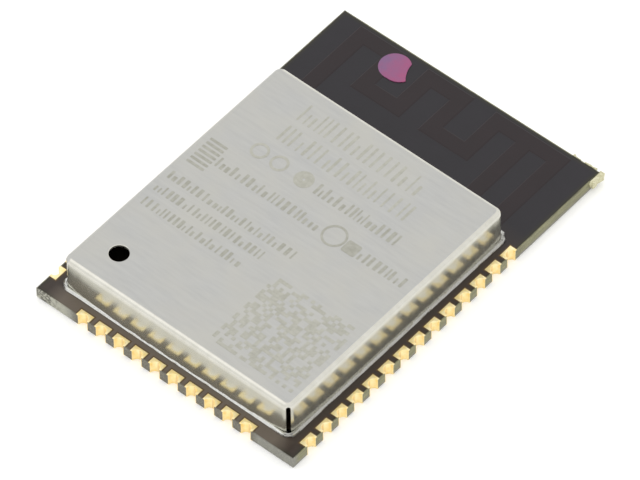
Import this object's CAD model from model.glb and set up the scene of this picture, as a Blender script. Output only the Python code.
import bmesh
import bpy
import math
import random
from mathutils import Matrix, Vector, noise


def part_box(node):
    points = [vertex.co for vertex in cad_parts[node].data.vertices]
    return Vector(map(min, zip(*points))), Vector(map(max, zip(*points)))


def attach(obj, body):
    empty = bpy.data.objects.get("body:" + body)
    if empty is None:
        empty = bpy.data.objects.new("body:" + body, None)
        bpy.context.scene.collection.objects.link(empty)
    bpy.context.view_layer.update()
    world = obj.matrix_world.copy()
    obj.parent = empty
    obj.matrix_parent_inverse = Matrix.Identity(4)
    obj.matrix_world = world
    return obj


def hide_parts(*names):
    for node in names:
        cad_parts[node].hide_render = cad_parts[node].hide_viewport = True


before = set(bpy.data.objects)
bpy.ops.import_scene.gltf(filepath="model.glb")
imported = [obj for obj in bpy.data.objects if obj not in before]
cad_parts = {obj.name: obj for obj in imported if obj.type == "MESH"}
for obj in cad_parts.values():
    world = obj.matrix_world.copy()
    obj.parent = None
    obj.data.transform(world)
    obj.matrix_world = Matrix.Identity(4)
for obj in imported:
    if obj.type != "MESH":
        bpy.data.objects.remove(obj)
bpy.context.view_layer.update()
mm = 0.001

# Bare board: woven glass in epoxy resin, routed out of a panel with the half holes
# drilled before. The cut sides show the olive plies, matt and slightly ragged.


def paint(hex_colour):
    """Linear colour of an sRGB hex value."""
    channels = [int(hex_colour[start:start + 2], 16) / 255 for start in (0, 2, 4)]
    linear = [c / 12.92 if c <= 0.04045 else ((c + 0.055) / 1.055) ** 2.4 for c in channels]
    return (*linear, 1.0)


def feed(tree, node, inputs):
    """Sets a node's inputs, each to a plain value, an sRGB hex colour or another node's output."""
    for socket, source in inputs.items():
        if isinstance(source, bpy.types.NodeSocket):
            tree.links.new(source, node.inputs[socket])
        else:
            node.inputs[socket].default_value = paint(source) if isinstance(source, str) else source


def add_node(tree, kind, inputs, output=0, **settings):
    """Adds a node with its settings and inputs, and gives back one of its outputs."""
    node = tree.nodes.new("ShaderNode" + kind)
    for name, setting in settings.items():
        setattr(node, name, setting)
    feed(tree, node, inputs)
    return node.outputs[output]


def start_material(name, metallic, roughness):
    """New material with its tree and shader, and its Object coordinates counted in millimetres."""
    material = bpy.data.materials.new(name)
    material.use_nodes = True
    tree = material.node_tree
    shader = tree.nodes["Principled BSDF"]
    feed(tree, shader, {"Metallic": metallic, "Roughness": roughness})
    place = add_node(tree, "TexCoord", {}, "Object")
    where = add_node(tree, "VectorMath", {0: place, 1: (1 / mm,) * 3}, operation="MULTIPLY")
    return material, tree, shader, where


grain_roughness = 0.55
# A mix node's colour inputs share their names with its other inputs, so they go by number.
first_tone, second_tone = 6, 7
of_colours = {"output": 2, "data_type": "RGBA"}


def speckle(tree, where, size, detail=2.0, stretch=(1, 1, 1)):
    """Pattern from 0 to 1 in grains of a size in mm, drawn out where a stretch is below 1."""
    scale = tuple(share / size for share in stretch)
    scaled = add_node(tree, "VectorMath", {0: where, 1: scale}, operation="MULTIPLY")
    return add_node(tree, "TexNoise", {"Vector": scaled, "Scale": 1.0, "Detail": detail,
                                       "Roughness": grain_roughness}, "Fac")


def mottled(tree, where, size, first, second, **pattern):
    """Colour that wanders between two tones in grains of a size in mm."""
    wander = speckle(tree, where, size, **pattern)
    return add_node(tree, "Mix", {"Factor": wander, first_tone: first, second_tone: second}, **of_colours)


def between(value, marks, ends=(0.0, 1.0)):
    """Inputs of a node that turns a value between two marks into a share between two ends."""
    return {"Value": value, "From Min": marks[0], "From Max": marks[1],
            "To Min": ends[0], "To Max": ends[1]}


def two_tones(tree, pattern, marks, first, second, most=1.0):
    """Colour that turns from a first tone to a second between two marks of a pattern."""
    share = add_node(tree, "MapRange", between(pattern, marks, (0.0, most)))
    return add_node(tree, "Mix", {"Factor": share, first_tone: first, second_tone: second}, **of_colours)


def finish_nodes(material, *names):
    """Gives CAD nodes their real finish."""
    for name in names:
        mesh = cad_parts[name].data
        mesh.materials.clear()
        mesh.materials.append(material)


def new_piece(piece, name, slot, *replaced):
    """Names a finished piece, fixes it to the module and says what it stands for."""
    piece.name = name
    piece.data.name = name
    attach(piece, "root")
    if replaced:
        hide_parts(*replaced)


board_low, board_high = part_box("board_laminate")
board_top = board_high.z
board_side = board_high.x / mm
board_end = board_high.y / mm
ply = 0.11
ply_stretch = (0.12, 0.12, 1.0)
# The cut glass threads are finer than this grain, which is as coarse as it needs to show.
glass_grain = 0.06
saw_patch = 0.16
saw_depth = 0.05 * mm
lowest_ply = (0.24, 0.16)
cut_end_marks = (board_low.y / mm + 0.5, board_low.y / mm + 0.1)
beside_end_row = (6.55, 6.25)
pale_corner = (-6.4, -7.2)
ragged_corner_width = 1.6
ragged_corner_fade = (0.4, -0.8)
gouge_marks = (0.55, 0.42)
fewest_gouges = 0.05
most_dust = 0.35
crisp_turn = (0.35, 0.65)
dust_turn = (0.45, 0.75)

laminate, tree, shader, where = start_material("cut_glass_epoxy_laminate", metallic=0.0, roughness=0.62)
place_x, place_y, place_z = (add_node(tree, "SeparateXYZ", {0: where}, axis) for axis in "XYZ")
plies = speckle(tree, where, ply, stretch=ply_stretch)
grains = speckle(tree, where, glass_grain, detail=4.0)
patches = speckle(tree, where, saw_patch)
olive = two_tones(tree, plies, crisp_turn, "6C6A4F", "878561")
layered = two_tones(tree, place_z, lowest_ply, olive, "7E7C72")
off_middle = add_node(tree, "Math", {0: place_x}, operation="ABSOLUTE")
end_tone = two_tones(tree, off_middle, beside_end_row, "7F7E76", "635F55")
cut_end = add_node(tree, "MapRange", between(place_y, cut_end_marks))
greyed = add_node(tree, "Mix", {"Factor": cut_end, first_tone: layered, second_tone: end_tone}, **of_colours)
pale_left = two_tones(tree, place_x, pale_corner, greyed, "ABAA9C")
left_end = add_node(tree, "Mix", {"Factor": cut_end, first_tone: greyed, second_tone: pale_left},
                    **of_colours)
from_left = add_node(tree, "Math", {0: place_x, 1: board_low.x / mm + ragged_corner_width},
                     operation="SUBTRACT")
ragged = add_node(tree, "MapRange", between(from_left, ragged_corner_fade))
gouges = add_node(tree, "MapRange", between(patches, gouge_marks))
pitted = add_node(tree, "Math", {0: ragged, 1: gouges, 2: fewest_gouges}, operation="MULTIPLY_ADD")
frayed = add_node(tree, "Mix", {"Factor": pitted, first_tone: left_end, second_tone: "55534A"}, **of_colours)
dusty = two_tones(tree, grains, dust_turn, frayed, "C4C2AC", most_dust)
saw_marks = add_node(tree, "Bump", {"Height": patches, "Distance": saw_depth})
feed(tree, shader, {"Base Color": dusty, "Normal": saw_marks})
finish_nodes(laminate, "board_laminate")

# Break-off stub: what is left of the bridge that held the board in its panel, snapped
# off by hand at the far right corner. Pale torn glass, half the board thick.
shred = 0.08
shred_depth = 0.04 * mm
tear_cuts = 5
tear_swing = 0.12
tear_wave = 3.1
tear_wave_up = 4.3
outline_play = 0.02


def only(piece):
    """Selects one piece alone and makes it the active one."""
    bpy.ops.object.select_all(action="DESELECT")
    bpy.context.view_layer.objects.active = piece
    piece.select_set(True)


def cube(low, high):
    """Block between two corners, its place kept in its mesh."""
    bpy.ops.object.select_all(action="DESELECT")
    low, high = Vector(low), Vector(high)
    bpy.ops.mesh.primitive_cube_add(size=1, location=(low + high) / 2)
    piece = bpy.context.object
    piece.scale = high - low
    bpy.ops.object.transform_apply(location=True, rotation=True, scale=True)
    return piece


torn, tree, shader, where = start_material("torn_glass_epoxy", metallic=0.0, roughness=0.65)
shreds = speckle(tree, where, shred, detail=4.0)
torn_tone = two_tones(tree, shreds, crisp_turn, "B9B48C", "DEDABB")
fibres = add_node(tree, "Bump", {"Height": shreds, "Distance": shred_depth})
feed(tree, shader, {"Base Color": torn_tone, "Normal": fibres})


def torn_piece(name, along_x, along_y, bottom):
    """Block with a torn outer side, its spans in mm from the board's far right corner."""
    low = (board_high.x + along_x[0] * mm, board_high.y + along_y[0] * mm, bottom * mm)
    high = (board_high.x + along_x[1] * mm, board_high.y + along_y[1] * mm, board_top)
    piece = cube(low, high)
    bpy.ops.object.mode_set(mode="EDIT")
    bpy.ops.mesh.subdivide(number_cuts=tear_cuts)
    bpy.ops.object.mode_set(mode="OBJECT")
    for vertex in piece.data.vertices:
        x, y, z = vertex.co / mm
        if max(x - board_side, y - board_end) > outline_play:
            grain = noise.noise((x * tear_wave, y * tear_wave, z * tear_wave_up))
            vertex.co += Vector((1, 1, 0)) * mm * tear_swing * grain
    piece.data.materials.append(torn)
    new_piece(piece, name, "glass_laminate")


torn_piece("break_off_stub", along_x=(-0.04, 0.24), along_y=(-0.85, 0.10), bottom=0.30)
torn_piece("torn_edge_near", along_x=(-1.05, -0.25), along_y=(-0.04, 0.11), bottom=0.45)
torn_piece("torn_edge_far", along_x=(-1.90, -1.30), along_y=(-0.04, 0.09), bottom=0.50)

# Solder mask: black photo-imaged film over both faces, open at every land. It is
# satin, bluish over bare laminate and reddish where copper lies right under it.
pour_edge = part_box("shield_land")[1].y / mm + 0.25
pour_border = (pour_edge + 0.6, pour_edge - 1.4)
pitch = 1.27
side_contacts = 14
end_contacts = 10
first_side_contact = 1.50
half_land = 0.45
land_depth = 0.45 * mm
thin_film = 0.07
border_marks = (thin_film + 0.03, thin_film - 0.02)
mask_cloud = 1.6
side_rim = (board_side - 0.30, board_side - 0.05)
end_rim = (board_end - 0.30, board_end - 0.05)
flux_from_end = (1.05, 0.80)
flux_from_side = (8.4, 7.4)
most_flux = 0.8
orange_peel = 0.18
peel_depth = 0.006 * mm
mask_ior = 1.40


def land_border(tree, along, inward, middle, contacts):
    """Share of thinned film round the lands of one row, from its middle and its depth."""
    row_half = pitch * (contacts - 1) / 2 + half_land
    offset = 0.0 if contacts % 2 else pitch / 2
    centred = add_node(tree, "Math", {0: along, 1: middle}, operation="SUBTRACT")
    shifted = add_node(tree, "Math", {0: centred, 1: offset}, operation="ADD")
    from_land = add_node(tree, "Math", {0: shifted, 1: pitch / 2}, operation="PINGPONG")
    beside = add_node(tree, "Math", {0: from_land, 1: half_land}, operation="SUBTRACT")
    behind = add_node(tree, "Math", {0: inward, 1: land_depth / mm}, operation="SUBTRACT")
    along_row = add_node(tree, "Math", {0: centred}, operation="ABSOLUTE")
    past_row = add_node(tree, "Math", {0: along_row, 1: row_half}, operation="SUBTRACT")
    near = add_node(tree, "Math", {0: beside, 1: behind}, operation="MAXIMUM")
    gap = add_node(tree, "Math", {0: near, 1: past_row}, operation="MAXIMUM")
    return add_node(tree, "MapRange", between(gap, border_marks))


def mask_film(name, over_copper):
    """Black mask, given the colour it takes from what lies under it."""
    material, tree, shader, where = start_material(name, metallic=0.0, roughness=0.34)
    place_x, place_y = (add_node(tree, "SeparateXYZ", {0: where}, axis) for axis in "XY")
    if over_copper:
        ground = mottled(tree, where, mask_cloud, "1E1517", "24191C")
    else:
        bare = mottled(tree, where, mask_cloud, "1F1C20", "242126")
        poured = mottled(tree, where, mask_cloud, "352C26", "3B312A")
        ground = two_tones(tree, place_y, pour_border, bare, poured)
    side = add_node(tree, "Math", {0: place_x}, operation="ABSOLUTE")
    along = add_node(tree, "Math", {0: place_y}, operation="ABSOLUTE")
    near_side = add_node(tree, "MapRange", between(side, side_rim))
    near_end = add_node(tree, "MapRange", between(along, end_rim))
    edge = add_node(tree, "Math", {0: near_side, 1: near_end}, operation="MAXIMUM")
    rimmed = add_node(tree, "Mix", {"Factor": edge, first_tone: ground, second_tone: "2C2A1E"}, **of_colours)
    from_side = add_node(tree, "Math", {0: board_side, 1: side}, operation="SUBTRACT")
    from_end = add_node(tree, "Math", {0: place_y, 1: board_low.y / mm}, operation="SUBTRACT")
    row_middle = board_low.y / mm + first_side_contact + pitch * (side_contacts - 1) / 2
    side_rows = land_border(tree, place_y, from_side, row_middle, side_contacts)
    end_row = land_border(tree, place_x, from_end, 0.0, end_contacts)
    thinned = add_node(tree, "Math", {0: side_rows, 1: end_row}, operation="MAXIMUM")
    fluxed = two_tones(tree, from_end, flux_from_end, rimmed, "6B6156", most_flux)
    residue = two_tones(tree, side, flux_from_side, rimmed, fluxed)
    bordered = add_node(tree, "Mix", {"Factor": thinned, first_tone: residue, second_tone: "553F24"},
                        **of_colours)
    peel = add_node(tree, "Bump", {"Height": speckle(tree, where, orange_peel, detail=3.0),
                                   "Distance": peel_depth})
    feed(tree, shader, {"IOR": mask_ior, "Base Color": bordered, "Normal": peel})
    return material


mask = mask_film("black_solder_mask", False)
mask_on_copper = mask_film("black_solder_mask_over_copper", True)
finish_nodes(mask, "solder_mask_top", "solder_mask_bottom")

# Copper under the mask and lands under the hidden parts: etched foil, and the same
# foil plated with nickel and a thin gold that stays soft and slightly mottled.
tarnish_cloud = 0.5
gold_mottle = 0.22
gold_grit = 0.07
grit_depth = 0.010 * mm
gold_gloss = (0.32, 0.46)
gold_turn = (0.35, 0.68)
soft_turn = (0.3, 0.7)

foil_copper, tree, shader, where = start_material("etched_copper_foil", metallic=1.0, roughness=0.42)
feed(tree, shader, {"Base Color": mottled(tree, where, tarnish_cloud, "C98A63", "B2714F")})
finish_nodes(foil_copper, "antenna_trace")

gold, tree, shader, where = start_material("immersion_gold_on_nickel", metallic=1.0, roughness=0.38)
mottle = speckle(tree, where, gold_mottle, detail=4.0)
tone = two_tones(tree, mottle, gold_turn, "FFE5A0", "FFF2C6")
gloss = add_node(tree, "MapRange", between(mottle, soft_turn, gold_gloss))
grit = add_node(tree, "Bump", {"Height": speckle(tree, where, gold_grit, detail=3.0),
                               "Distance": grit_depth})
feed(tree, shader, {"Base Color": tone, "Roughness": gloss, "Normal": grit})
finish_nodes(gold, "ground_pads", "component_lands")

# Printed antenna: the mask runs up over the copper trace with a soft shoulder, which
# shows as a fine light line along each run. Modelled as the film over the trace.
weld = 0.0005 * mm
film_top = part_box("solder_mask_top")[1].z
film_thickness = 0.02 * mm
film_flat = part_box("component_lands")[0].z + film_thickness
film_sheet = 0.01 * mm
shoulder = 0.09 * mm
film_growth = 0.022 * mm
film_lift = 0.004 * mm
facing_up = 0.9
same_plane = math.radians(1)


def pick(piece, kind, test):
    """Selects, in edit mode, the vertices, edges or faces that pass a test."""
    bpy.ops.mesh.select_mode(type={"verts": "VERT", "edges": "EDGE", "faces": "FACE"}[kind])
    mesh = bmesh.from_edit_mesh(piece.data)
    for group in (mesh.verts, mesh.edges, mesh.faces):
        for part in group:
            part.select = False
    for part in getattr(mesh, kind):
        if test(part):
            part.select_set(True)
    mesh.select_flush_mode()
    bmesh.update_edit_mesh(piece.data)


def merged_copy(node, name):
    """Free copy of a CAD node with its loose triangles joined to clean faces."""
    piece = bpy.data.objects.new(name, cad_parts[node].data.copy())
    bpy.context.scene.collection.objects.link(piece)
    only(piece)
    bpy.ops.mesh.customdata_custom_splitnormals_clear()
    bpy.ops.object.mode_set(mode="EDIT")
    bpy.ops.mesh.select_all(action="SELECT")
    bpy.ops.mesh.remove_doubles(threshold=weld)
    bpy.ops.mesh.dissolve_limited(angle_limit=same_plane)
    bpy.ops.object.mode_set(mode="OBJECT")
    return piece


def smooth(piece, degrees=35):
    """Smooth shading up to an angle, with the flat faces kept flat."""
    only(piece)
    bpy.ops.object.shade_smooth_by_angle(angle=math.radians(degrees))
    weighted = piece.modifiers.new("flat faces", "WEIGHTED_NORMAL")
    weighted.keep_sharp = True
    bpy.ops.object.modifier_apply(modifier=weighted.name)


cover = merged_copy("antenna_trace", "antenna_mask_cover")
bpy.ops.object.mode_set(mode="EDIT")
pick(cover, "faces", lambda face: face.normal.z < facing_up)
bpy.ops.mesh.delete(type="FACE")
bpy.ops.mesh.select_all(action="SELECT")
bpy.ops.transform.translate(value=(0, 0, film_top + film_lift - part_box("antenna_trace")[1].z))
bpy.ops.object.mode_set(mode="OBJECT")
film = bmesh.new()
film.from_mesh(cover.data)
film.faces.ensure_lookup_table()
outward = {}
for loop in film.faces[0].loops:
    before = (loop.vert.co - loop.link_loop_prev.vert.co).normalized()
    after = (loop.link_loop_next.vert.co - loop.vert.co).normalized()
    outward[loop.vert.index] = (before + after).cross(Vector((0, 0, 1))) / (1 + before.dot(after))
for vertex in film.verts:
    vertex.co += film_growth * outward[vertex.index]
film.to_mesh(cover.data)
film.free()
corner_count = len(cover.data.vertices)
bpy.ops.object.mode_set(mode="EDIT")
pick(cover, "edges", lambda edge: edge.is_boundary)
bpy.ops.mesh.extrude_edges_move()
bpy.ops.object.mode_set(mode="OBJECT")
for corner in range(corner_count):
    inner = cover.data.vertices[corner]
    outer = min(cover.data.vertices[corner_count:], key=lambda vertex: (vertex.co - inner.co).length)
    outer.co = inner.co + shoulder * outward[corner]
    outer.co.z = film_flat - film_lift
body = cover.modifiers.new("film", "SOLIDIFY")
body.thickness = film_sheet
body.offset = -1
bpy.ops.object.modifier_apply(modifier=body.name)
cover.data.materials.clear()
cover.data.materials.append(mask_on_copper)
smooth(cover)
new_piece(cover, "antenna_mask_cover", "solder_mask")

# Edge contacts: each is a drilled hole plated with copper, nickel and gold and then
# milled in half, with its land on top and a longer foot below. Burnished, not polished.
contact_low, contact_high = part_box("contact_20")
land_width = contact_high.x - contact_low.x
foot_depth = contact_high.y - contact_low.y
# The outer wall stands a plating's thickness behind this radius.
hole_radius = 0.31 * mm
plating = 0.04 * mm
foil = 0.04 * mm
worn_rim = 0.012 * mm
worn_edge = math.radians(50)
burr_grain = 0.1
flat_face = 0.98


def cut(piece, cutter, operation="DIFFERENCE"):
    """Cuts one piece with another, or joins them, and removes the second."""
    only(piece)
    cutting = piece.modifiers.new("cut", "BOOLEAN")
    cutting.object = cutter
    cutting.operation = operation
    cutting.solver = "EXACT"
    bpy.ops.object.modifier_apply(modifier=cutting.name)
    bpy.data.objects.remove(cutter)


def rod(radius, low, high, sides=32, centre=(0, 0)):
    """Upright cylinder between two heights."""
    bpy.ops.object.select_all(action="DESELECT")
    bpy.ops.mesh.primitive_cylinder_add(vertices=sides, radius=radius, depth=high - low,
                                        location=(centre[0], centre[1], (low + high) / 2))
    piece = bpy.context.object
    bpy.ops.object.transform_apply(location=True, rotation=True, scale=True)
    return piece


contact = cube((-land_depth, -land_width / 2, board_top), (land_depth, land_width / 2, contact_high.z))
foot = cube((-foot_depth, -land_width / 2, 0), (foot_depth, land_width / 2, foil))
cut(contact, foot, "UNION")
cut(contact, rod(hole_radius + plating, 0, contact_high.z), "UNION")
cut(contact, rod(hole_radius, -foil, contact_high.z + foil))
only(contact)
bpy.ops.object.mode_set(mode="EDIT")
bpy.ops.mesh.select_all(action="SELECT")
bpy.ops.mesh.bisect(plane_co=(0, 0, 0), plane_no=(1, 0, 0), clear_outer=True, use_fill=True,
                    threshold=weld)
bpy.ops.object.mode_set(mode="OBJECT")
worn_rims = contact.modifiers.new("worn rims", "BEVEL")
worn_rims.width = worn_rim
worn_rims.segments = 2
worn_rims.limit_method = "ANGLE"
worn_rims.angle_limit = worn_edge
bpy.ops.object.modifier_apply(modifier=worn_rims.name)
milled_edge, tree, shader, where = start_material("milled_plating_edge", metallic=1.0, roughness=0.45)
feed(tree, shader, {"Base Color": mottled(tree, where, burr_grain, "EBCF94", "F6E0AE")})
contact.data.materials.append(gold)
contact.data.materials.append(milled_edge)
for face in contact.data.polygons:
    milled = face.normal.x > flat_face and face.center.z < board_top + foil / 4
    face.material_index = 1 if milled else 0
smooth(contact, degrees=40)
contact_count = sum(name.startswith("contact_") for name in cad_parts)
for number in range(1, contact_count + 1):
    node = "contact_%02d" % number
    low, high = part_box(node)
    middle = (low + high) / 2
    if high.x > board_high.x - weld:
        place, turn = (high.x, middle.y, 0), 0
    elif low.x < board_low.x + weld:
        place, turn = (low.x, middle.y, 0), math.pi
    else:
        place, turn = (middle.x, low.y, 0), -math.pi / 2
    castellation = bpy.data.objects.new(node, contact.data.copy())
    bpy.context.scene.collection.objects.link(castellation)
    castellation.data.transform(Matrix.Translation(place) @ Matrix.Rotation(turn, 4, "Z"))
    new_piece(castellation, "castellation_%02d" % number, "gold_plate", node)
bpy.data.objects.remove(contact)

# Shield land and solder: the tinned ring on the board and the solder that was printed
# on it and flowed up the can's foot. It froze bright, lumpy at the corners, and is
# dulled by flux on the right.
solder_low, solder_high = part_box("shield_solder")
can_low, can_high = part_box("shield_can")
can_middle = (can_low + can_high) / 2
seat_shift = (-0.025 * mm, 0.04 * mm, 0)
seat_turn = math.radians(-0.27)
seat_growth = (1.003, 1.0045, 1, 1)
rise = 0.65
right_rise = 0.70
right_side = 0.2
can_face = 0.01
corner_reach = 0.02
lump_reach = 0.9
corner_lump = 0.05
corner_crest = 0.10
right_lump = 0.05
foot_share = 0.4
slow_swell = 0.03
quick_swell = 0.01
crest_swell = 0.03
slow_wave = 1.6
crest_wave = 3
quick_wave = 5
side_gap = 0.03 * mm
end_gap = 0.06 * mm
long_run = 1 * mm
bead_cuts = 150
standing = 0.1 * mm
height_cuts = 3
frost_grain = 0.22
frost_turn = (0.35, 0.7)
frost_gloss = (0.12, 0.42)
stain_from = (7.5, 7.9)
most_stain = 0.6
ripple = 0.2
ripple_depth = 0.012 * mm

tin, tree, shader, where = start_material("reflowed_tin_solder", metallic=1.0, roughness=0.24)
place_x = add_node(tree, "SeparateXYZ", {0: where}, "X")
frost = speckle(tree, where, frost_grain, detail=3.0)
cold = two_tones(tree, frost, frost_turn, "C6C6C2", "DEDEDA")
stained = two_tones(tree, place_x, stain_from, cold, "84817A", most_stain)
gloss = add_node(tree, "MapRange", between(frost, soft_turn, frost_gloss))
ripples = add_node(tree, "Bump", {"Height": speckle(tree, where, ripple, detail=3.0),
                                  "Distance": ripple_depth})
feed(tree, shader, {"Base Color": stained, "Roughness": gloss, "Normal": ripples})
finish_nodes(tin, "shield_land")

drift = Matrix.Translation(seat_shift) @ Matrix.Rotation(seat_turn, 4, "Z")
to_middle = Matrix.Translation(-can_middle)
seat = Matrix.Translation(can_middle) @ drift @ Matrix.Diagonal(seat_growth) @ to_middle
half_width = can_high.x / mm
half_length = (can_high.y - can_low.y) / mm / 2
fillet = merged_copy("shield_solder", "solder_fillet")
bpy.ops.object.mode_set(mode="EDIT")
pick(fillet, "edges", lambda edge: edge.calc_length() > long_run)
bpy.ops.mesh.subdivide(number_cuts=bead_cuts)
pick(fillet, "edges", lambda edge: abs(edge.verts[0].co.z - edge.verts[1].co.z) > standing)
bpy.ops.mesh.subdivide(number_cuts=height_cuts)
bpy.ops.object.mode_set(mode="OBJECT")
lumps = bmesh.new()
lumps.from_mesh(fillet.data)
for vertex in lumps.verts:
    x, y, z = vertex.co / mm
    across = abs(x)
    along = abs(y - can_middle.y / mm)
    on_right = x > half_width - right_side
    height = (vertex.co.z - solder_low.z) / (solder_high.z - solder_low.z)
    vertex.co.z = solder_low.z + (vertex.co.z - solder_low.z) * (right_rise if on_right else rise)
    if max(across - half_width, along - half_length) < can_face:
        continue
    out_x = math.copysign(max(0, across - half_width + corner_reach), x)
    out_y = math.copysign(max(0, along - half_length + corner_reach), y - can_middle.y / mm)
    out = Vector((out_x, out_y, 0)).normalized()
    belly = math.sin(math.pi * min(max(height, 0), 1))
    near_corner = max(0.0, 1.0 - math.hypot(half_width - across, half_length - along) / lump_reach)
    slow = noise.noise((x * slow_wave, y * slow_wave, z * crest_wave))
    quick = noise.noise((x * quick_wave, y * quick_wave, z * quick_wave))
    swell = slow_swell * slow + quick_swell * quick
    bulge = swell * (foot_share + belly) + corner_lump * near_corner + (right_lump if on_right else 0.0)
    vertex.co += out * mm * bulge
    crest = crest_swell * noise.noise((x * crest_wave, y * crest_wave, quick_wave))
    vertex.co.z += mm * belly * (crest + corner_crest * near_corner)
lumps.to_mesh(fillet.data)
lumps.free()
fillet.data.materials.clear()
fillet.data.materials.append(tin)
for vertex in fillet.data.vertices:
    vertex.co.x *= 1 + side_gap / can_high.x
    vertex.co.y += (vertex.co.y - can_middle.y) * end_gap / (can_high.y - can_middle.y)
fillet.data.transform(seat)
smooth(fillet, degrees=60)
new_piece(fillet, "solder_fillet", "solder_tin", "shield_solder")

# Shield can: thin tinned steel, blanked, folded down on four sides and left open in
# a narrow slot at each corner, with one punched vent. Its walls lean out at the foot
# in the middle of each side. Satin on top, bright on the walls under a haze of flux.
sheet = 0.15 * mm
corner_radius = 0.45 * mm
bend_radius = 0.30 * mm
slot_width = 0.25 * mm
slot_below_top = 0.15 * mm
slot_rounding = 0.49
vent_sides = 48
vent_radius = 0.56 * mm
vent_rim = 0.04 * mm
vent_place = (can_low.x + 2.10 * mm, can_low.y + 2.15 * mm)
end_flare = 0.15 * mm
side_flare = 0.08 * mm
flare_falloff = 4
flare_cuts = 12
curl_height = 0.6 * mm
curl_share = 0.55
brush_streak = 0.22
streak_stretch = (0.12, 1.0, 1.0)
top_cloud = 3.0
cloud_turn = (0.35, 0.7)
most_cloud = 0.5
top_gloss = (0.36, 0.48)
top_grit = 0.12
top_grit_depth = 0.004 * mm
draw_streak = 0.5
draw_stretch = (1.0, 1.0, 0.3)
wall_gloss = (0.17, 0.23)
wall_wave = 0.9
wall_wave_depth = 0.01 * mm
bend_end = (can_high.z - bend_radius) / mm
bend_marks = (bend_end, bend_end - 0.15)
haze_marks = (2.15, 1.75)
wall_edge = 1 * mm
leaning = 0.1

satin_top, tree, shader, where = start_material("tinned_steel_satin", metallic=1.0, roughness=0.40)
streaks = speckle(tree, where, brush_streak, detail=4.0, stretch=streak_stretch)
clouds = speckle(tree, where, top_cloud)
brushed = two_tones(tree, streaks, soft_turn, "B3B3B1", "BDBDBA")
aged = two_tones(tree, clouds, cloud_turn, brushed, "C0BEB5", most_cloud)
gloss = add_node(tree, "MapRange", between(streaks, soft_turn, top_gloss))
grit = add_node(tree, "Bump", {"Height": speckle(tree, where, top_grit, detail=3.0),
                               "Distance": top_grit_depth})
feed(tree, shader, {"Base Color": aged, "Roughness": gloss, "Normal": grit})

bright_wall, tree, shader, where = start_material("tinned_steel_bright", metallic=0.85, roughness=0.20)
place_z = add_node(tree, "SeparateXYZ", {0: where}, "Z")
drawn = speckle(tree, where, draw_streak, detail=3.0, stretch=draw_stretch)
polished = two_tones(tree, drawn, soft_turn, "CAC8BE", "D3D1C8")
hazed = two_tones(tree, drawn, soft_turn, "B9B7AA", "C1BFB3")
cleaner = two_tones(tree, drawn, soft_turn, "C5C4B5", "CECCBF")
upright = two_tones(tree, place_z, haze_marks, hazed, cleaner)
walled = two_tones(tree, place_z, bend_marks, polished, upright)
gloss = add_node(tree, "MapRange", between(drawn, soft_turn, wall_gloss))
waves = add_node(tree, "Bump", {"Height": speckle(tree, where, wall_wave, detail=1.0),
                                "Distance": wall_wave_depth})
feed(tree, shader, {"Base Color": walled, "Roughness": gloss, "Normal": waves})

can = cube(can_low, can_high)
bpy.ops.object.mode_set(mode="EDIT")
pick(can, "edges", lambda edge: abs(edge.verts[0].co.z - edge.verts[1].co.z) > wall_edge)
bpy.ops.mesh.bevel(offset=corner_radius, segments=8, affect="EDGES")
pick(can, "edges", lambda edge: min(v.co.z for v in edge.verts) > can_high.z - weld)
bpy.ops.mesh.bevel(offset=bend_radius, segments=10, affect="EDGES")
pick(can, "faces", lambda face: face.normal.z < -facing_up)
bpy.ops.mesh.delete(type="FACE")
for step in range(1, flare_cuts):
    for axis in (Vector((1, 0, 0)), Vector((0, 1, 0))):
        bpy.ops.mesh.select_all(action="SELECT")
        station = can_low + (can_high - can_low) * step / flare_cuts
        bpy.ops.mesh.bisect(plane_co=station, plane_no=axis, threshold=weld)
bpy.ops.mesh.select_all(action="SELECT")
bpy.ops.mesh.bisect(plane_co=(0, 0, can_low.z + curl_height), plane_no=(0, 0, 1), threshold=weld)
bpy.ops.object.mode_set(mode="OBJECT")
for vertex in can.data.vertices:
    if vertex.co.z < can_low.z + curl_height + weld:
        share = 1.0 if vertex.co.z < can_low.z + weld else curl_share
        across = vertex.co.x / can_high.x
        along = (vertex.co.y - can_middle.y) / (can_high.y - can_middle.y)
        vertex.co.x += side_flare * share * across * (1 - along ** flare_falloff)
        vertex.co.y += end_flare * share * along * (1 - across ** flare_falloff)
thickness = can.modifiers.new("sheet", "SOLIDIFY")
thickness.thickness = sheet
thickness.offset = -1
thickness.use_even_offset = True
bpy.ops.object.modifier_apply(modifier=thickness.name)
slot_top = can_high.z - slot_below_top
slot_reach = 2 * corner_radius
corners = [(can_high.x, can_high.y, 45), (can_low.x, can_high.y, 135),
           (can_low.x, can_low.y, 225), (can_high.x, can_low.y, 315)]
for x, y, degrees in corners:
    slot = cube((-slot_reach, -slot_width / 2, can_low.z - foil), (0, slot_width / 2, slot_top))
    bpy.ops.object.mode_set(mode="EDIT")
    pick(slot, "edges", lambda edge: min(v.co.z for v in edge.verts) > slot_top - weld
         and abs(edge.verts[0].co.x - edge.verts[1].co.x) > weld)
    bpy.ops.mesh.bevel(offset=slot_width * slot_rounding, segments=6, affect="EDGES")
    bpy.ops.object.mode_set(mode="OBJECT")
    slot.data.transform(Matrix.Translation((x, y, 0)) @ Matrix.Rotation(math.radians(degrees), 4, "Z"))
    cut(can, slot)
cut(can, rod(vent_radius, can_high.z - 2 * sheet, can_high.z + sheet, vent_sides, vent_place))
only(can)
bpy.ops.object.mode_set(mode="EDIT")
pick(can, "edges", lambda edge: min(v.co.z for v in edge.verts) > can_high.z - weld and max(
    math.hypot(v.co.x - vent_place[0], v.co.y - vent_place[1]) for v in edge.verts) < vent_radius + weld)
bpy.ops.mesh.bevel(offset=vent_rim, segments=3, affect="EDGES")
bpy.ops.object.mode_set(mode="OBJECT")
can.data.materials.append(bright_wall)
can.data.materials.append(satin_top)
only(can)
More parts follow.
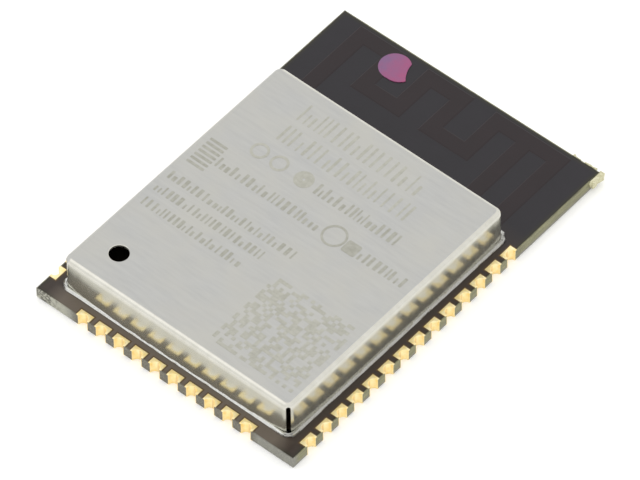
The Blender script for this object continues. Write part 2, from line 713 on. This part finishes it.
for face in can.data.polygons:
    flat_top = face.normal.z > flat_face and face.center.z > slot_top
    on_bend = face.normal.z > leaning and face.center.z > can_high.z - bend_radius
    left_bend = face.normal.x < -leaning and on_bend
    face.material_index = 1 if flat_top or left_bend else 0
can.data.transform(seat)
smooth(can, degrees=40)
new_piece(can, "drawn_can", "tinned_sheet", "shield_can")

# Laser marks: rows of plain bars, rings and a block of cells, burnt into the can's top.
# The tin comes out matt and olive grey, and stands a few microns proud.
mark_film = 0.006 * mm
mark_sunk = 0.002 * mm
bar_corner = 0.12 * mm
burn_grain = 0.25
ring_sides = 40
short_bar = 0.6
chance = random.Random(7)


def burnt_tin(name, metallic, first, second):
    """Tin that the laser turned matt, in two close tones."""
    material, tree, shader, where = start_material(name, metallic=metallic, roughness=0.6)
    burn = speckle(tree, where, burn_grain, detail=3.0)
    feed(tree, shader, {"Base Color": two_tones(tree, burn, soft_turn, first, second)})
    return material


laser_mark = burnt_tin("laser_annealed_tin", 0.55, "ABAA9F", "BAB9AF")
dark_mark = burnt_tin("laser_burnt_tin", 0.4, "9E9D92", "AFAEA4")
bar = cube((-mm / 2, -mm / 2, can_high.z - mark_sunk), (mm / 2, mm / 2, can_high.z + mark_film))
bpy.ops.object.mode_set(mode="EDIT")
pick(bar, "edges", lambda edge: abs(edge.verts[0].co.z - edge.verts[1].co.z) > mark_film / 2)
bpy.ops.mesh.bevel(offset=bar_corner, segments=2, affect="EDGES")
bpy.ops.object.mode_set(mode="OBJECT")


def laser_marks(name, bars, material):
    """One piece of many bars, each given by its middle, length and height in mm."""
    marks = bmesh.new()
    for x, y, length, height in bars:
        first = len(marks.verts)
        marks.from_mesh(bar.data)
        marks.verts.ensure_lookup_table()
        stamp = Matrix.Translation((x * mm, y * mm, 0)) @ Matrix.Diagonal((length, height, 1, 1))
        bmesh.ops.transform(marks, matrix=seat @ stamp, verts=marks.verts[first:])
    mesh = bpy.data.meshes.new(name)
    marks.to_mesh(mesh)
    marks.free()
    mesh.materials.append(material)
    piece = bpy.data.objects.new(name, mesh)
    bpy.context.scene.collection.objects.link(piece)
    new_piece(piece, name, "tinned_sheet")


def bar_row(left, right, low, high, thin, thick, gap):
    """Upright bars of chance thickness along a row, a few of them short."""
    bars = []
    x = left
    while x < right - thin:
        width = min(chance.uniform(thin, thick), right - x)
        tall = (high - low) * chance.choice((1.0, 1.0, short_bar))
        bars.append((x + width / 2, low + tall / 2, width, tall))
        x += width + chance.uniform(gap, 2 * gap)
    return bars


def ring(name, centre, radius, stroke, material):
    """Flat ring of one stroke."""
    place = (centre[0] * mm, centre[1] * mm)
    disc = rod(radius * mm, can_high.z - mark_sunk, can_high.z + mark_film, ring_sides, place)
    hole = rod((radius - stroke) * mm, can_high.z - 2 * mark_sunk, can_high.z + 2 * mark_film,
               ring_sides, place)
    cut(disc, hole)
    disc.data.transform(seat)
    disc.data.materials.append(material)
    new_piece(disc, name, "tinned_sheet")


wide_bars = (0.10, 0.20, 0.22)
close_bars = (0.10, 0.20, 0.20)
fine_bars = (0.09, 0.24, 0.12)
laser_marks("mark_row_1", bar_row(-4.70, 3.95, 3.50, 4.80, *wide_bars), laser_mark)
laser_marks("mark_row_2", bar_row(-4.65, 4.30, 1.80, 3.00, *close_bars), laser_mark)
laser_marks("mark_row_3", bar_row(-0.70, 5.05, 0.20, 1.00, *fine_bars), dark_mark)
laser_marks("mark_row_4", bar_row(-5.95, 1.10, -1.75, -1.05, *fine_bars)
            + bar_row(4.00, 7.20, -1.75, -1.05, *fine_bars), dark_mark)
laser_marks("mark_row_5", bar_row(-7.35, 1.45, -4.00, -3.40, *fine_bars), dark_mark)
laser_marks("mark_row_6", bar_row(-7.35, 0.10, -5.10, -4.50, *fine_bars), dark_mark)
laser_marks("mark_row_7", bar_row(-7.25, -0.15, -6.25, -5.65, *fine_bars), dark_mark)
rungs = 7
rung_step = 0.32
rung_size = (1.20, 0.17)
first_rung = (-6.72, -0.45)
ladder = [(first_rung[0], first_rung[1] - rung_step * rung, *rung_size) for rung in range(rungs)]
laser_marks("mark_ladder", ladder, dark_mark)
square_size = (0.90, 0.85)
laser_marks("mark_square", [(3.40, -1.38, *square_size)], dark_mark)
ring("mark_ring_left", (-4.72, 0.60), radius=0.55, stroke=0.16, material=laser_mark)
ring("mark_ring_middle", (-3.35, 0.60), radius=0.55, stroke=0.16, material=laser_mark)
ring("mark_ring_small", (2.15, -1.30), radius=0.75, stroke=0.14, material=dark_mark)
ring("mark_disc", (-1.62, 0.60), radius=0.58, stroke=0.50, material=laser_mark)
cell_rows = 24
cell_columns = 25
cell_block = 5.7
cell = cell_block / cell_columns
cell_fill = 0.98
cell_chance = 0.5
cell_left = 1.6
cell_near = -10.8
cells = []
for row in range(cell_rows):
    for column in range(cell_columns):
        if chance.random() < cell_chance:
            cells.append((cell_left + cell * (column + 0.5), cell_near + cell * (row + 0.5),
                          cell * cell_fill, cell * cell_fill))
laser_marks("mark_cells", cells, laser_mark)
bpy.data.objects.remove(bar)

# Ink spot: a dab of violet inspection ink, dried thin over the mask near the antenna.
# It is pinker where it pooled along its torn side.
spot_low, spot_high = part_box("ink_spot")
ink_cloud = 0.5
ink_turn = (0.2, 0.8)
ink_drift = 0.3

ink, tree, shader, where = start_material("dried_violet_ink", metallic=0.0, roughness=0.45)
place_x = add_node(tree, "SeparateXYZ", {0: where}, "X")
pool = add_node(tree, "MapRange", between(place_x, (spot_low.x / mm, spot_high.x / mm)))
clouds = speckle(tree, where, ink_cloud)
wander = add_node(tree, "MapRange", between(clouds, ink_turn, (-ink_drift, ink_drift)))
pooled = add_node(tree, "Math", {0: pool, 1: wander}, operation="ADD")
dried = add_node(tree, "Mix", {"Factor": pooled, first_tone: "7C577E", second_tone: "9E4872"}, **of_colours)
feed(tree, shader, {"Base Color": dried})
finish_nodes(ink, "ink_spot")

# Parts under the can: moulded chips, tinned leads, ceramic chip parts with metal caps.
# Only the vent lets a little of them be seen, but each keeps its own finish.


def hidden_finish(name, metallic, roughness, size, first, second, **pattern):
    """Plain mottled finish of a part under the can."""
    material, tree, shader, where = start_material(name, metallic=metallic, roughness=roughness)
    feed(tree, shader, {"Base Color": mottled(tree, where, size, first, second, **pattern)})
    return material


moulding = hidden_finish("epoxy_moulding_compound", 0.0, 0.55, 0.05, "1A1A1C", "2B2B2E", detail=4.0)
matt_tin = hidden_finish("matt_tin_plate", 1.0, 0.4, 0.1, "C4C4C2", "D8D8D6")
lid = hidden_finish("nickel_plated_lid", 1.0, 0.3, 0.3, "C8C2B0", "DAD5C6", stretch=(1, 0.2, 1))
tan_ceramic = hidden_finish("tan_barium_ceramic", 0.0, 0.5, 0.1, "9C7A52", "B08D63")
pale_ceramic = hidden_finish("pale_ferrite_ceramic", 0.0, 0.45, 0.1, "B9BCC4", "CDD0D8")
glaze = hidden_finish("black_glazed_ceramic", 0.0, 0.3, 0.1, "141416", "202024")
finish_nodes(moulding, "radio_chip", "memory_chip", "surge_diode")
finish_nodes(matt_tin, "radio_chip_terminals", "memory_chip_leads")
finish_nodes(lid, "crystal")
cap_share = 0.25
cap_play = 0.001


def finish_capped(node, body):
    """Gives each chip part of a node its ceramic body and its two tinned caps."""
    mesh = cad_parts[node].data
    mesh.materials.clear()
    mesh.materials.append(body)
    mesh.materials.append(matt_tin)
    shape = bmesh.new()
    shape.from_mesh(mesh)
    bmesh.ops.remove_doubles(shape, verts=shape.verts, dist=weld)
    left = set(shape.faces)
    parts = []
    while left:
        part = {left.pop()}
        border = list(part)
        while border:
            for edge in border.pop().edges:
                for face in edge.link_faces:
                    if face in left:
                        left.remove(face)
                        part.add(face)
                        border.append(face)
        points = [vertex.co for face in part for vertex in face.verts]
        spans = [[point[axis] for point in points] for axis in range(3)]
        parts.append([(min(span), max(span)) for span in spans])
    shape.free()
    for face in mesh.polygons:
        for box in parts:
            if all(low - weld <= face.center[axis] <= high + weld for axis, (low, high) in enumerate(box)):
                axis = 0 if box[0][1] - box[0][0] > box[1][1] - box[1][0] else 1
                low, high = box[axis]
                share = (face.center[axis] - low) / (high - low)
                face.material_index = 1 if min(share, 1 - share) < cap_share + cap_play else 0


for capacitors in ("filter_capacitors", "supply_capacitors", "bypass_capacitors", "matching_capacitors"):
    finish_capped(capacitors, tan_ceramic)
finish_capped("matching_inductors", pale_ceramic)
finish_capped("resistors", glaze)

# Stage: an opal light table under a plain white sky, as in a product photograph, and
# a long lens from the contact end, above the right-hand corner.
table_size = 2.0
table_drop = 0.01 * mm
table_glow = 0.17
sky_strength = 1.12
lamp_size = 0.24
lamp_power = 0.05
lamp_place = Vector((-0.137, -0.123, 0.27))
aim = Vector((0.472, -0.518, 0.748)) * mm
distance = 435.2 * mm
azimuth = math.radians(40.87)
elevation = math.radians(50.81)
roll = math.radians(-0.717)
sensor_width = 36
focal_length = 456.9
nearest_shown = 0.01

opal, tree, shader, where = start_material("opal_light_table", metallic=0.0, roughness=0.7)
feed(tree, shader, {"Base Color": "F4F4F2", "Emission Color": "FFFFFF", "Emission Strength": table_glow})
bpy.ops.object.select_all(action="DESELECT")
bpy.ops.mesh.primitive_plane_add(size=table_size, location=(0, 0, -table_drop))
table = bpy.context.object
table.name = "light_table"
table.data.materials.append(opal)

world = bpy.data.worlds.new("white_studio")
world.use_nodes = True
feed(world.node_tree, world.node_tree.nodes["Background"], {"Color": "FFFFFF", "Strength": sky_strength})
bpy.context.scene.world = world
bpy.context.scene.view_settings.view_transform = "Standard"

lamp_data = bpy.data.lights.new("softbox", "AREA")
lamp_data.shape = "DISK"
lamp_data.size = lamp_size
lamp_data.energy = lamp_power
lamp = bpy.data.objects.new("softbox", lamp_data)
lamp.matrix_world = Matrix.Translation(lamp_place) @ lamp_place.to_track_quat("Z", "Y").to_matrix().to_4x4()
bpy.context.scene.collection.objects.link(lamp)

camera_data = bpy.data.cameras.new("product_camera")
camera_data.sensor_width = sensor_width
camera_data.lens = focal_length
camera_data.clip_start = nearest_shown
camera = bpy.data.objects.new("product_camera", camera_data)
turn = Matrix.Rotation(azimuth, 4, "Z") @ Matrix.Rotation(math.pi / 2 - elevation, 4, "X")
back_off = Matrix.Translation((0, 0, distance))
camera.matrix_world = Matrix.Translation(aim) @ turn @ Matrix.Rotation(roll, 4, "Z") @ back_off
bpy.context.scene.collection.objects.link(camera)
bpy.context.scene.camera = camera
